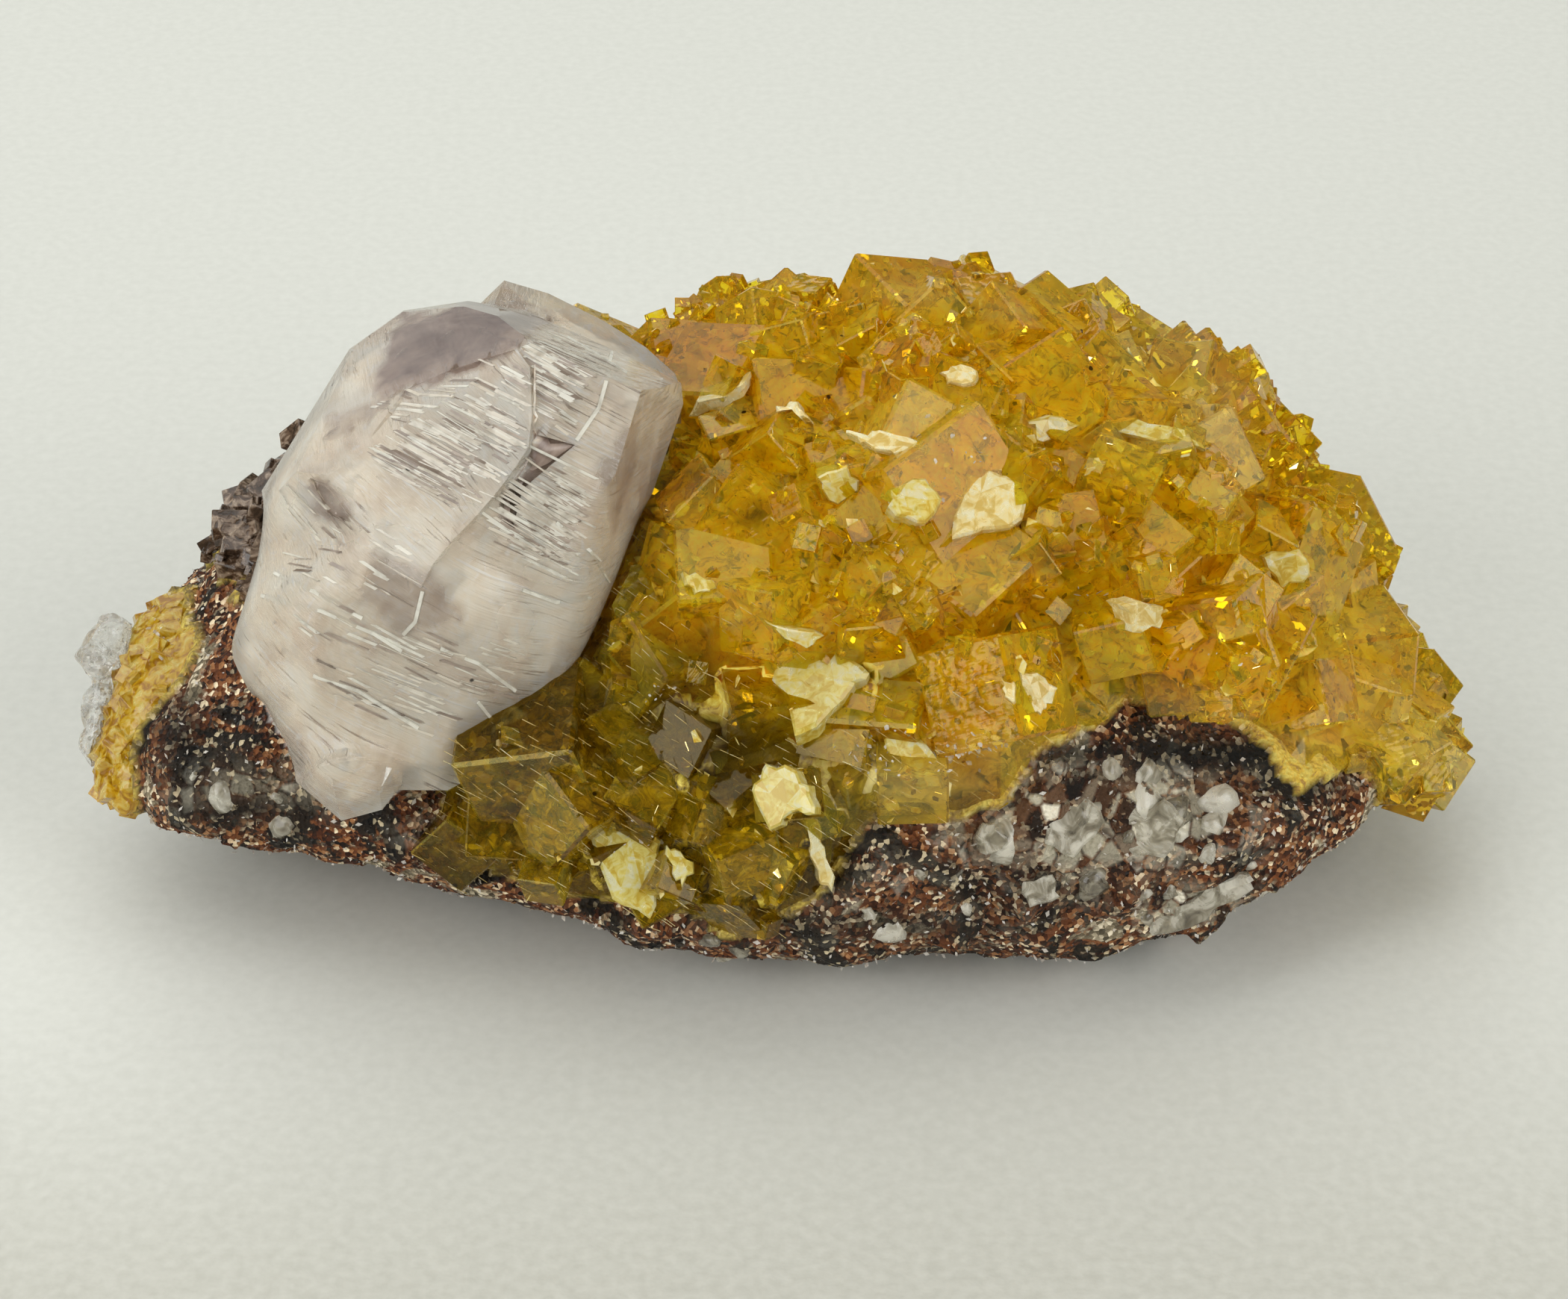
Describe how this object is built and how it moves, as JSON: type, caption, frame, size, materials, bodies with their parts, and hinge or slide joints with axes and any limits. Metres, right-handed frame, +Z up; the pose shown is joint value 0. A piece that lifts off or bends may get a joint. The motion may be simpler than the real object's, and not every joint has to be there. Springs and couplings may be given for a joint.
{
  "type": "calcite with fluorite",
  "caption": "Natural crystal specimen: pale lilac calcite grown beside a crust of honey-yellow fluorite cubes on brown granular matrix rock.",
  "frame": {"origin": "on the flat that the specimen rests on, under the middle of its bounding box", "axes": "+X along the specimen from the calcite end to the fluorite tip, +Z up, -Y the side that shows the large calcite"},
  "size_m": [0.12, 0.063, 0.0548],
  "materials": {
    "matrix": "matte",
    "fluorite": "gloss",
    "calcite": "gloss",
    "clear_calcite": "gloss",
    "pale_crystal": "gloss",
    "druse": "satin"
  },
  "bodies": {
    "root": {"matrix_rock": "matrix", "fluorite_crust": "fluorite", "fluorite_left": "fluorite", "calcite_main": "calcite", "calcite_left": "clear_calcite", "pale_crystal_right": "pale_crystal", "brown_druse": "druse"}
  },
  "joints": []
}
